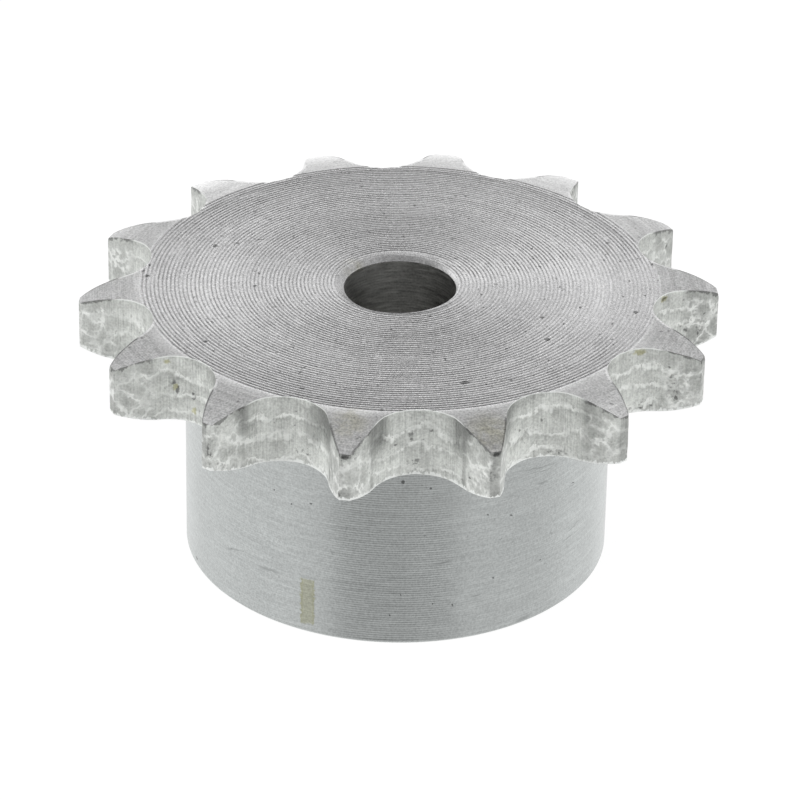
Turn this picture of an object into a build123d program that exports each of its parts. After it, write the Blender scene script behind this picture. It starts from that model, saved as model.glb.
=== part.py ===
"""Roller chain sprocket for half-inch chain: a toothed rim and its hub, turned from one piece of steel.

The hub's free end stands on the XY plane, the bore runs up the Z axis and the toothed rim is at the top.
One tooth points along -Y.
"""
from build123d import *
from math import acos, asin, cos, degrees, pi, radians, sin
import os

# Chain that runs on the teeth
chain_pitch = 12.70
roller_diameter = 8.51

# Teeth
tooth_count = 14
tip_rise = 2.01  # tooth tips above the pitch circle
seat_clearance = 0.185  # seat's radius over the roller's own
root_clearance = 0.03  # gap under a roller that sits on the pitch circle
seat_angle = 123.5  # arc of the seat, from flank to flank
flank_radius = 17.6  # convex flank above the seat
cutter_overrun = 0.60  # how far a gullet's cut runs out past the tips

# Turned blank
overall_length = 27.65
rim_thickness = 6.84
relief_radius = 12.7  # rounded sides of the teeth
front_relief_width = 5.83  # measured in from the tips
back_relief_width = 4.17
hub_diameter = 41.0
hub_root_fillet = 0.8  # corner between the hub and the back of the rim
hub_edge_break = 0.25
bore_diameter = 10.73
bore_chamfer_width = 0.72
bore_chamfer_depth = 0.55

# Radii, heights and arcs that follow
pitch_radius = chain_pitch / (2 * sin(pi / tooth_count))
tip_radius = pitch_radius + tip_rise
hub_radius = hub_diameter / 2
rim_back = overall_length - rim_thickness
front_relief_start = tip_radius - front_relief_width
back_relief_start = tip_radius - back_relief_width
front_relief_arc = degrees(asin(front_relief_width / relief_radius))
back_relief_arc = degrees(asin(back_relief_width / relief_radius))

# Gullet's arcs, seen along the axis with the gullet on +X
seat_radius = roller_diameter / 2 + seat_clearance
root_radius = pitch_radius - roller_diameter / 2 - root_clearance
seat_center = root_radius + seat_radius
half_seat = seat_angle / 2
flank_center = seat_center - (seat_radius + flank_radius) * cos(radians(half_seat))
cut_edge = tip_radius + cutter_overrun
flank_arc = half_seat - degrees(acos((cut_edge - flank_center) / flank_radius))
first_gullet = degrees(pi / tooth_count) - 90  # puts a tooth on -Y

# One gullet: the roller seat, a convex flank tangent to each end of it, and a straight edge past the tips
with BuildSketch() as gullet:
    with BuildLine():
        seat = CenterArc((seat_center, 0), seat_radius, 180 - half_seat, seat_angle)
        upper_flank = JernArc(seat @ 0, (seat % 0) * -1, flank_radius, flank_arc)
        lower_flank = JernArc(seat @ 1, seat % 1, flank_radius, -flank_arc)
        Line(upper_flank @ 1, lower_flank @ 1)
    make_face()

with BuildPart() as sprocket:
    # Turned blank: the hub below, the rim above with both its sides rounded off towards the tips
    with BuildSketch(Plane.XZ):
        with BuildLine():
            Polyline((0, 0), (hub_radius, 0), (hub_radius, rim_back), (back_relief_start, rim_back))
            back_relief = JernArc((back_relief_start, rim_back), (1, 0), relief_radius, back_relief_arc)
            front_start = (front_relief_start, overall_length)
            front_relief = JernArc(front_start, (1, 0), relief_radius, -front_relief_arc)
            Line(back_relief @ 1, front_relief @ 1)
            Polyline(front_start, (0, overall_length), (0, 0))
        make_face()
    revolve(axis=Axis.Z)

    # Broken edge round the hub's end, and the turning tool's radius in the corner behind the rim
    hub_wall = sprocket.faces().filter_by(GeomType.CYLINDER).sort_by(Axis.Z)[0]
    chamfer(hub_wall.edges().filter_by(GeomType.CIRCLE).sort_by(Axis.Z)[0], hub_edge_break)
    hub_wall = sprocket.faces().filter_by(GeomType.CYLINDER).sort_by(Axis.Z)[0]
    fillet(hub_wall.edges().filter_by(GeomType.CIRCLE).sort_by(Axis.Z)[-1], hub_root_fillet)

    # Through bore, chamfered where it meets the rim's face and the hub's end
    Hole(bore_diameter / 2)
    for end in (0, -1):
        end_face = sprocket.faces().filter_by(Axis.Z).sort_by(Axis.Z)[end]
        bore_edge = end_face.edges().filter_by(GeomType.CIRCLE).sort_by(SortBy.RADIUS)[0]
        chamfer(bore_edge, bore_chamfer_width, bore_chamfer_depth, reference=end_face)

    # Teeth: a gullet is cut through the rim for each chain roller
    with BuildSketch(Plane.XY.offset(rim_back)):
        with PolarLocations(0, tooth_count, start_angle=first_gullet):
            add(gullet.sketch)
    extrude(amount=rim_thickness, mode=Mode.SUBTRACT)

sprocket.part.label = "sprocket"

os.makedirs("parts", exist_ok=True)
export_step(sprocket.part, "parts/sprocket.step")
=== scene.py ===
"""Chain sprocket: a turned steel blank with its facing grooves, tooth gaps cut by a hob, and a small studio.

Sizes are in metres. The hub's free end stands on the floor and the bore runs up the Z axis.
"""

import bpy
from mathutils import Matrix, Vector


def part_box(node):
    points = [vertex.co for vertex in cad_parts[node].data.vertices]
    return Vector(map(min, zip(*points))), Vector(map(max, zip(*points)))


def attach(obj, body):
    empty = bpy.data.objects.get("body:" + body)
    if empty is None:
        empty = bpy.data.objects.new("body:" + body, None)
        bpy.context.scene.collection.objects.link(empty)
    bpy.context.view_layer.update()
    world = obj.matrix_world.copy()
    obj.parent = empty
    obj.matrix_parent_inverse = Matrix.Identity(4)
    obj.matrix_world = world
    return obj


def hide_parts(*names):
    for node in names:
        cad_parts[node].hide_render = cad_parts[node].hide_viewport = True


bl_info = {
    "name": "Chain Sprocket",
    "version": (1, 0, 0),
    "blender": (4, 5, 0),
    "location": "3D Viewport > Sidebar > Sprocket",
    "description": "Builds a steel roller chain sprocket with its machined finish, and a studio for it",
    "category": "Add Mesh",
}

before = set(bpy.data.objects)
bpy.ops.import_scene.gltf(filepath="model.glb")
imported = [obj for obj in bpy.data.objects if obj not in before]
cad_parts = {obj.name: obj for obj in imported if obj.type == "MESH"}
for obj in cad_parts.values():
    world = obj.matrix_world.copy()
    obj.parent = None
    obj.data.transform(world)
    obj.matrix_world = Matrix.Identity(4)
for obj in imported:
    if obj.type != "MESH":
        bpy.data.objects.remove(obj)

import math
import random

import bpy
from bpy.props import FloatProperty, FloatVectorProperty, IntProperty, PointerProperty
from mathutils import Matrix, Vector

MM = 0.001
DEGREES = 180 / math.pi
PIECE = "steel_sprocket"
NODE = "sprocket"
STEELS = ("faced_steel", "relief_steel", "turned_steel", "bored_steel", "hobbed_steel")
high_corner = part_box(NODE)[1]
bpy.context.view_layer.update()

# How near counts as the same radius, and as the same height
NEAR = 0.01 * MM
LEVEL = 0.001 * MM
# How far in from the tips the torn steel of the tip lands reaches on the blank
TIP_SKIN = 0.08 * MM
# Divisions of the half section: the hub's wall, the fillet behind the rim, the teeth's sides and the bore
HUB_ROWS, FILLET_ROWS, BACK_ROWS, FRONT_ROWS, BORE_ROWS = 8, 5, 6, 10, 6
# How far the tip land's small corner leans in, over its height
FACET_LEAN = 0.3
# A facing groove's section: share of the pitch, share of the depth; and how shallow the shallowest one is
GROOVE_SHAPE = ((0.0, 0.0), (0.25, 0.5), (0.5, 1.0), (0.75, 0.5))
SHALLOWEST_GROOVE = 0.7
# How far the gap cutter reaches past the rim, above and below
CUTTER_OVERHANG = 0.3 * MM
# Torn metal on the cutter: name, kind of pattern, its spacing in millimetres and its share of the depth
TEARS = (
    ("scales", "VORONOI", (1.5, 1.5, 1.9), 1.0),
    ("rags", "CLOUDS", (0.6, 0.6, 0.8), 0.45),
)

# Marks on the steel, in millimetres: centre, half sizes, and a turn about X, Y and Z where one is needed
FACE_PITS = [
    ((-18.75, 3.93, 27.65), (0.32, 0.42, 0.5)),
    ((-23.92, -3.29, 27.65), (0.26, 0.40, 0.5)),
    ((-24.47, -2.41, 27.65), (0.20, 0.30, 0.5)),
    ((-24.17, -1.11, 27.65), (0.16, 0.25, 0.5)),
    ((-13.41, -3.34, 27.65), (0.24, 0.34, 0.5)),
    ((-15.89, -14.93, 27.65), (0.28, 0.30, 0.5)),
    ((22.75, -1.67, 27.65), (0.26, 0.36, 0.5)),
    ((24.77, -4.89, 27.65), (0.20, 0.36, 0.5)),
    ((23.22, 8.24, 27.65), (0.22, 0.30, 0.5)),
    ((14.16, -4.36, 27.65), (0.26, 0.30, 0.5)),
    ((15.27, -8.47, 27.65), (0.40, 0.26, 0.5)),
    ((8.94, -17.96, 27.65), (0.65, 0.32, 0.5), (0, 0, 0.35)),
]
# Small specks on the face: across and back
FACE_SPECKS = (
    (-18.62, -6.59), (-13.56, -0.70), (-3.84, 13.86), (-15.96, -11.08), (7.90, -0.82), (11.72, -10.93),
    (17.46, -1.67), (20.82, -4.34), (16.40, -5.20), (10.69, -16.66), (13.03, -16.89), (15.89, -18.22),
    (6.50, -14.14), (13.34, 12.22), (12.65, 5.76), (11.40, 9.25), (3.47, 19.08), (18.52, 8.26), (21.48, 4.48),
    (20.06, 8.35), (4.93, -22.11), (1.21, -19.93), (-6.21, -18.90), (-8.98, -15.60), (15.07, 2.00),
)
FACE_PITS += [((x, y, 27.65), (0.15, 0.20, 0.5)) for x, y in FACE_SPECKS]
FACE_SCUFFS = [
    ((-0.9, -12.6, 27.65), (0.9, 0.5, 0.5), (0, 0, -0.7)),
    ((0.5, -14.8, 27.65), (0.6, 1.3, 0.5), (0, 0, 0.5)),
    ((1.1, -18.0, 27.65), (0.5, 1.0, 0.5), (0, 0, 0.3)),
]
# Where a film of dried oil tinges the steel
TINGES = [
    ((12.3, -25.4, 26.8), (3.2, 3.6, 2.6)),
    ((-0.2, -26.6, 26.8), (2.4, 3.4, 2.6)),
    ((-4.9, 2.6, 27.4), (1.6, 2.2, 1.0)),
]
WALL_PITS = [
    ((-18.25, -18.0, 24.75), (0.20, 0.5, 0.42), (0, 0.5, 0)),
    ((-17.86, -18.0, 24.05), (0.17, 0.5, 0.55)),
    ((-16.37, -18.26, 23.95), (0.16, 0.5, 0.22)),
    ((-16.25, -18.3, 23.45), (0.20, 0.5, 0.16)),
    ((24.99, 2.44, 27.14), (0.36, 0.5, 0.22)),
    ((26.58, 3.90, 23.60), (0.18, 0.4, 0.18)),
    ((27.01, 4.15, 23.07), (0.18, 0.4, 0.18)),
    ((28.21, 4.90, 22.46), (0.15, 0.4, 0.22)),
    ((29.44, 5.82, 24.83), (0.13, 0.4, 0.24)),
    ((28.66, 5.22, 24.42), (0.14, 0.4, 0.20)),
    ((23.69, 17.39, 24.98), (0.16, 0.4, 0.50)),
    ((13.52, 23.24, 26.78), (0.22, 0.4, 0.28)),
    ((4.90, -23.80, 25.15), (0.28, 0.4, 0.50)),
    ((5.05, -23.78, 24.50), (0.16, 0.4, 0.34)),
    ((6.75, -23.40, 25.45), (0.24, 0.4, 0.16)),
    ((5.50, -23.62, 22.33), (0.30, 0.4, 0.22)),
    ((26.68, -7.94, 25.53), (0.16, 0.4, 0.20)),
    ((26.90, -7.91, 24.69), (0.14, 0.4, 0.32)),
    ((27.53, -7.83, 22.99), (0.30, 0.4, 0.26)),
    ((23.31, -8.82, 21.30), (0.22, 0.5, 0.14)),
    ((24.20, -8.33, 21.20), (0.24, 0.5, 0.14)),
    ((25.19, -8.06, 21.47), (0.20, 0.5, 0.18)),
    ((-13.10, -27.60, 23.60), (0.16, 0.4, 0.70)),
    ((-1.86, -27.30, 27.20), (0.18, 0.4, 0.16)),
    ((0.92, -29.91, 25.56), (0.14, 0.4, 0.14)),
    ((-0.57, -30.50, 22.05), (0.22, 0.4, 0.26)),
    ((3.59, -24.52, 24.21), (0.14, 0.4, 0.16)),
    ((14.36, -19.74, 24.24), (0.16, 0.4, 0.16)),
    ((16.18, -18.34, 24.69), (0.14, 0.4, 0.22)),
    ((27.47, -7.84, 22.35), (0.20, 0.4, 0.30)),
    ((10.74, -26.12, 22.46), (0.16, 0.4, 0.18)),
    ((12.92, -27.68, 24.77), (0.14, 0.4, 0.20)),
    ((0.0, -30.55, 25.95), (0.52, 0.3, 0.20)),
    ((13.25, -27.53, 25.95), (0.50, 0.4, 0.20)),
]
WALL_STAINS = [
    ((-18.1, -18.0, 24.30), (0.26, 0.5, 0.55), (0, 0.3, 0)),
    ((-16.23, -18.32, 22.11), (0.30, 0.5, 0.50)),
    ((-18.83, -18.10, 27.00), (0.42, 0.5, 0.32)),
    ((23.9, -8.44, 27.20), (0.90, 0.6, 0.40)),
    ((24.95, 2.50, 27.14), (0.66, 0.7, 0.38)),
]
# Patches of the walls where small specks of metal tore out
WALL_FRAYS = [
    ((-5.1, -23.8, 22.0), (1.2, 0.8, 0.7)),
    ((-7.5, -23.8, 24.7), (0.35, 0.8, 0.9)),
    ((5.3, -23.8, 22.1), (1.5, 0.8, 0.5)),
    ((4.9, -23.8, 24.9), (0.5, 0.8, 0.6)),
    ((-12.9, -27.6, 23.5), (0.5, 0.8, 2.2)),
    ((-12.0, -27.0, 21.6), (0.9, 0.8, 0.5)),
    ((15.2, -19.0, 23.9), (1.4, 0.9, 0.6)),
    ((17.4, -18.0, 21.3), (1.4, 0.9, 0.5)),
    ((12.9, -27.7, 24.0), (0.5, 0.8, 1.2)),
    ((27.1, -7.9, 23.4), (0.6, 0.8, 2.6)),
    ((24.2, -8.4, 21.6), (1.5, 0.8, 0.6)),
    ((28.4, 5.0, 23.2), (0.8, 0.8, 1.4)),
]
# Patches of the walls painted darker: a painted shadow at the end of one seat, and two darker tip lands
WALL_SHADES = [
    ((13.2, -27.65, 22.9), (0.8, 0.9, 3.4)),
    ((-4.0, -24.5, 25.2), (1.6, 1.4, 3.0)),
    ((23.9, -19.1, 23.8), (0.9, 0.9, 3.4)),
]
HUB_DENTS = [
    ((3.72, -20.15, 17.76), (0.24, 0.4, 0.22), (0, 0.6, 0)),
    ((6.22, -19.52, 16.96), (0.11, 0.4, 0.08)),
    ((-6.92, -19.29, 13.73), (0.09, 0.4, 0.18)),
    ((6.58, -19.41, 4.33), (0.11, 0.4, 0.11)),
    ((8.41, -18.69, 3.99), (0.13, 0.4, 0.12)),
    ((-17.82, -10.12, 0.92), (0.20, 0.4, 0.18)),
    ((18.30, -9.24, 12.90), (0.12, 0.4, 0.10)),
    ((-4.92, -19.90, 14.32), (0.11, 0.4, 0.10)),
    ((-8.67, -18.57, 14.58), (0.11, 0.4, 0.10)),
    ((11.32, -17.09, 13.25), (0.12, 0.4, 0.10)),
    ((13.29, -15.60, 12.59), (0.12, 0.4, 0.11)),
    ((3.65, -20.17, 5.45), (0.11, 0.4, 0.10)),
    ((2.75, -20.31, 3.22), (0.11, 0.4, 0.10)),
    ((11.92, -16.67, 6.15), (0.12, 0.4, 0.10)),
    ((15.87, -12.97, 6.34), (0.12, 0.4, 0.10)),
]
HUB_SCUFFS = [
    ((4.9, -19.9, 15.8), (0.9, 1.0, 0.24), (0, -0.35, 0.25)),
    ((-8.8, -18.5, 9.2), (3.2, 2.0, 1.0), (0, 0.10, -0.45)),
]
# Rubbed streaks and scratches on the hub
HUB_RUBS = [
    ((-9.20, -18.25, 5.63), (2.2, 1.5, 0.26), (0, -0.09, -0.468)),
    ((-12.96, -15.80, 5.95), (2.2, 1.5, 0.14), (0, -0.33, -0.689)),
    ((7.50, -19.07, 8.80), (1.3, 1.5, 0.14), (0, -0.08, 0.378)),
    ((15.13, -13.40, 16.73), (3.6, 2.0, 0.09), (0, 0.133, 0.846)),
    ((15.60, -13.20, 16.20), (2.8, 2.0, 0.07), (0, 0.160, 0.866)),
    ((15.80, -13.00, 14.85), (1.3, 1.5, 0.22), (0, 0.160, 0.883)),
    ((18.46, -8.75, 7.98), (1.9, 1.5, 0.11), (0, -0.180, 1.129)),
    ((18.10, -9.60, 7.10), (1.5, 1.5, 0.09), (0, -0.200, 1.080)),
    ((10.50, -17.57, 4.65), (1.1, 1.5, 0.14), (0, -0.170, 0.530)),
    ((14.60, -14.35, 0.55), (1.2, 1.5, 0.35), (0, 0.0, 0.794)),
]
# The hub's front, where its feed lines are painted strongest, as its reflection shows them there, and where
# the hub is painted lighter: middle and half sizes
HUB_LINES = ((2.8, -20.3, 9.0), (7.5, 5.0, 17.0))
# Outer edge of the bore's chamfer, which a hand-held countersink left off centre: middle and radius
CHAMFER_EDGE = (-0.24, -0.27, 5.87)
# Dried oil on the hub: middle and half sizes, across and up
HUB_STAIN = (-5.22, 3.45, 0.68, 2.45)

# How each turned surface looks: feed lines, their valleys painted darker as shade in the grooves, broken
# streaks and grain, and how strongly each one shades it
FACED = dict(
    pitch=0.386, start=24.717, arc=9.0, fine=5.5, grain=7.0, roughness=0.27, anisotropic=0.4, metallic=1.0,
    streaks=0.55, feed=0.0, grit=0.25, line_tone=0.76, streak_tone=0.84, grain_tone=0.56, blotch_tone=0.34,
    broad_tone=0.22, speck_tone=0.62, dents=FACE_PITS,
)
RELIEVED = dict(
    pitch=0.16, start=0.0, arc=7.0, fine=4.0, grain=5.0, roughness=0.42, anisotropic=0.35, metallic=0.62,
    streaks=0.6, feed=0.12, grit=1.2, line_tone=0.10, streak_tone=0.84, grain_tone=0.42, blotch_tone=0.26,
    broad_tone=0.06, speck_tone=0.45, dents=(),
)
TURNED = dict(
    pitch=0.245, start=0.0, arc=5.0, fine=3.2, grain=5.0, roughness=0.36, anisotropic=0.80, metallic=1.0,
    streaks=0.6, feed=0.5, grit=0.2, line_tone=0.22, streak_tone=0.58, grain_tone=0.24, blotch_tone=0.12,
    broad_tone=0.12, speck_tone=0.20, dents=HUB_DENTS,
)
BORED = dict(
    pitch=0.30, start=0.0, arc=3.0, fine=3.0, grain=5.0, roughness=0.40, anisotropic=0.5, metallic=1.0,
    streaks=0.8, feed=0.15, grit=0.2, line_tone=0.16, streak_tone=2.2, grain_tone=0.3, blotch_tone=0.2,
    broad_tone=0.3, speck_tone=0.0, dents=(),
)

# Zones of the steels, where light and shade are painted. A row says how much it adds, then where each ramp
# over a named place starts and ends. On the face the rows of a group are added to 1 and the groups are
# multiplied: first for how strongly the feed lines show as the light shows them, then for the face's painted
# light and shade
FACE_LINES = (
    ((-0.5, ("right", 0.86, 1.0)), (-0.55, ("back", 0.75, 1.0))),
    ((-0.22, ("right", -0.86, -1.0)),),
    ((-0.35, ("right", 0.92, 0.99), ("radius", 16.0, 19.0)),),
    ((0.22, ("slant", 0.90, 1.0), ("radius", 18.5, 16.0)), (0.08, ("radius", 21.8, 22.6))),
)
FACE_TONES = (
    ((0.12, ("slant", 0.90, 1.0), ("radius", 18.5, 16.0)), (-0.14, ("back", 0.70, 1.0))),
    ((-0.11, ("right", 0.90, 1.0)), (-0.06, ("right", -0.85, -1.0))),
    ((0.12, ("radius", 19.0, 21.5), ("back", -0.3, -0.9), ("right", -0.1, 0.5)),),
    ((0.14, ("radius", 23.8, 24.2), ("back", 0.3, 0.8)),),
    ((0.10, ("radius", 13.5, 18.0), ("radius", 21.0, 19.0)),),
    ((-0.02, ("radius", 21.6, 22.8)),),
)
# The direction that slant is measured in: shares of right and back
SLANT = (0.87, 0.5)
# The outermost groove, which is deep at the back: its radius, and its zone
OUTER_GROOVE = 23.6
OUTER_GROOVE_LINE = ((0.35, ("off_groove", 0.14, 0.05), ("y", 6.0, 14.0)),)
# How the chamfer's painted shade changes: more at the back, and less on its right, where it is painted
# lighter
CHAMFER_TONES = ((0.22, ("back", 0.4, 1.0)), (-0.5, ("right", 0.3, 0.9)))
# Painted light and shade on the teeth's rounded sides, by place: a light band and a light line where they
# start, lighter far teeth, and teeth made darker or lighter one by one
RELIEF_TONES = (
    (0.16, ("radius", 26.2, 24.7)),
    (0.20, ("y", 10.0, 19.0)),
    (0.22, ("radius", 24.92, 24.76)),
    (-0.13, ("x", 12.0, 22.0), ("y", -14.0, -4.0)),
    (-0.13, ("x", -14.0, -24.0), ("y", -11.0, 1.0)),
    (0.14, ("x", -12.0, -18.0), ("y", 11.0, 15.0)),
    (-0.05, ("x", 10.0, 18.0), ("y", -9.0, -5.0)),
    (0.16, ("radius", 26.1, 25.4), ("off_front", 4.5, 2.0), ("y", 0.0, -20.0)),
    (-0.08, ("x", 8.0, 11.0), ("y", -19.0, -23.0)),
    (-0.045, ("y", -22.0, -25.0)),
)
# Painted shade on the front tooth on the left, added after the edges of its gaps
LEFT_TOOTH_TONES = ((-0.12, ("x", -15.0, -19.0), ("y", -10.0, -15.0)),)

# Patches of the room: direction and half width in degrees, lowest and highest rise, softness, tone
ROOM_PATCHES = (
    (124.0, 30.0, 8.0, 24.0, 4.0, 0.50),
    (66.0, 24.0, 8.0, 24.0, 4.0, 0.66),
    (98.8, 40.0, 26.0, 31.0, 3.0, 1.12),
    (0.0, 55.0, 2.0, 60.0, 10.0, 0.72),
    (180.0, 40.0, 2.0, 60.0, 10.0, 0.74),
    (-22.0, 32.0, -95.0, 0.0, 10.0, 0.79),
    (-92.8, 23.8, -95.0, 50.0, 2.0, 0.54),
    (-59.0, 10.0, -95.0, 50.0, 3.0, 0.58),
    (103.0, 9.0, -20.0, 7.0, 6.0, 2.2),
    (68.0, 12.0, 41.0, 50.0, 5.0, 0.85),
    (90.0, 11.0, 57.0, 80.0, 4.0, 0.06),
    (98.8, 42.0, -60.0, -20.0, 8.0, 1.16),
    (-126.0, 10.0, -95.0, 50.0, 3.0, 0.82),
    (-154.0, 18.0, -95.0, 50.0, 6.0, 0.91),
    (0.0, 181.0, 81.0, 95.0, 5.0, 0.85),
)
# Azimuth of the sprocket's front
FRONT = math.radians(-81.24)
# Lamps: name, place, size and power
LAMPS = (
    ("lamp_left", (-0.55, -0.35, 0.42), 0.6, 2.4),
    ("lamp_right", (0.60, -0.30, 0.42), 0.6, 2.4),
)
# The paper on the floor: its sides, its grey for the light that it gives, and for what is seen of it
FLOOR_SIDES = 96
PAPER_GREYS = ((0.88, 0.88, 0.88, 1.0), (0.20, 0.20, 0.20, 1.0))
# The camera's sensor in millimetres, and its nearest and farthest distance in metres
SENSOR_WIDTH = 36.0
NEAREST, FARTHEST = 0.01, 10.0


def length(name, description, default):
    """A length property in metres, written here in millimetres."""
    return FloatProperty(name=name, description=description, default=default * MM, precision=5, unit="LENGTH")


def rotation(name, description, default):
    """An angle property, written here in degrees."""
    return FloatProperty(name=name, description=description, default=math.radians(default), subtype="ANGLE")


def fraction(name, description, default):
    """A property between 0 and 1."""
    limits = {"min": 0.0, "max": 1.0, "subtype": "FACTOR"}
    return FloatProperty(name=name, description=description, default=default, **limits)


def swatch(name, description, *default):
    """A colour property."""
    return FloatVectorProperty(name=name, description=description, default=default, subtype="COLOR")


class SprocketBlank(bpy.types.PropertyGroup):
    """Sizes of the turned blank."""

    overall_length: length("Overall length", "From the hub's free end to the rim's face", high_corner.z / MM)
    tip_radius: length("Tip radius", "Radius over the tooth tips", 30.545)
    rim_thickness: length("Rim thickness", "Height of the toothed rim", 6.84)
    relief_radius: length("Relief radius", "Radius of the teeth's rounded sides", 12.7)
    front_relief_width: length("Front relief width", "Rounded side at the face, in from the tips", 5.83)
    back_relief_width: length("Back relief width", "Rounded side at the hub, in from the tips", 4.17)
    tip_facet_height: length("Tip facet height", "Dull corner left above each tip land", 0.36)
    hub_radius: length("Hub radius", "Radius of the hub", 20.5)
    hub_root_fillet: length("Hub root fillet", "Tool radius behind the rim", 0.8)
    hub_edge_break: length("Hub edge break", "Chamfer round the hub's end", 0.25)
    bore_radius: length("Bore radius", "Radius of the pilot bore", 5.365)
    chamfer_width: length("Bore chamfer width", "Chamfer's width on the face", 0.72)
    chamfer_depth: length("Bore chamfer depth", "Chamfer's depth down the bore", 0.55)
    groove_pitch: length("Facing groove pitch", "Feed of the facing tool per turn", 0.386)
    inner_pitch: length("Inner groove pitch", "Feed inside the radius where it changes", 0.366)
    feed_change: length("Feed change", "Radius where the facing tool's feed changes", 17.0)
    groove_depth: length("Facing groove depth", "Depth of a facing groove", 0.046)
    steps: IntProperty(name="Steps", description="Divisions round the turned blank", default=196, min=48)


class SprocketGaps(bpy.types.PropertyGroup):
    """Sizes of the tooth gaps."""

    teeth: IntProperty(name="Teeth", description="Number of teeth", default=14, min=6)
    root_radius: length("Root radius", "Radius at the bottom of the gaps", 24.252)
    seat_radius: length("Seat radius", "Radius of the roller seats", 4.44)
    seat_angle: rotation("Seat angle", "Arc of a roller seat", 123.5)
    flank_radius: length("Flank radius", "Radius of the convex tooth flanks", 17.6)
    tip_thinning: length("Tip thinning", "How much thinner each flank leaves the tip", 0.14)
    overrun: length("Cutter overrun", "How far the cutter runs out past the tips", 0.35)
    wall_step: length("Wall step", "Spacing of the points on a gap's wall", 0.30)
    feed: length("Hob feed", "Height of one pass of the hob", 2.05)
    tear_depth: length("Tear depth", "Depth of the torn metal on the walls", 0.08)


class SprocketFinish(bpy.types.PropertyGroup):
    """Colours of the steel."""

    faced: swatch("Faced steel", "Colour of the rim's turned face", 0.695, 0.693, 0.698)
    relieved: swatch("Relieved steel", "Colour of the teeth's rounded sides", 0.66, 0.66, 0.66)
    turned: swatch("Turned steel", "Colour of the hub", 0.545, 0.567, 0.561)
    hobbed: swatch("Hobbed steel", "Colour of the tooth gaps' walls", 0.612, 0.628, 0.602)
    bored: swatch("Bored steel", "Colour inside the bore", 0.412, 0.412, 0.402)
    stain: swatch("Oil stain", "Colour of dried cutting oil", 0.62, 0.58, 0.24)


class SprocketStudio(bpy.types.PropertyGroup):
    """Floor, room, lamps and camera."""

    floor_radius: length("Floor radius", "Radius of the floor", 600.0)
    paper_glow: fraction("Paper glow", "How white the paper is by itself", 0.88)
    room_level: fraction("Room level", "Light that the room gives to the floor", 0.85)
    ceiling_tone: fraction("Ceiling tone", "Grey of the ceiling", 0.22)
    walls_end: rotation("Walls' end", "Rise where the walls end", 29.0)
    ceiling_start: rotation("Ceiling's start", "Rise where the ceiling has its full grey", 40.0)
    azimuth: rotation("Azimuth", "Camera's turn", 8.756)
    elevation: rotation("Rise", "Camera's rise", 29.711)
    roll: rotation("Roll", "Camera's roll", 1.068)
    distance: length("Distance", "From the aim to the camera", 423.591)
    aim_side: length("Aim sideways", "Aim's place to the right of the axis", 0.193)
    aim_height: length("Aim height", "Aim's height over the floor", 14.774)
    lens: FloatProperty(name="Lens", description="Focal length in millimetres", default=197.32)


class Wire:
    """A node's output that takes Python maths: each expression on it adds its Math node."""

    def __init__(self, finish, socket):
        self.finish, self.socket = finish, socket

    def maths(self, operation, *others):
        """A Math node on this value and the others."""
        return self.finish.math(operation, self, *others)

    def __add__(self, other):
        return self.maths("ADD", other)

    __radd__ = __add__

    def __sub__(self, other):
        return self.maths("SUBTRACT", other)

    def __rsub__(self, other):
        return self.finish.math("SUBTRACT", other, self)

    def __mul__(self, other):
        return self.maths("MULTIPLY", other)

    __rmul__ = __mul__

    def __truediv__(self, other):
        return self.maths("DIVIDE", other)

    def __rtruediv__(self, other):
        return self.finish.math("DIVIDE", other, self)

    def __pow__(self, other):
        return self.maths("POWER", other)

    def __abs__(self):
        return self.maths("ABSOLUTE")


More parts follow.
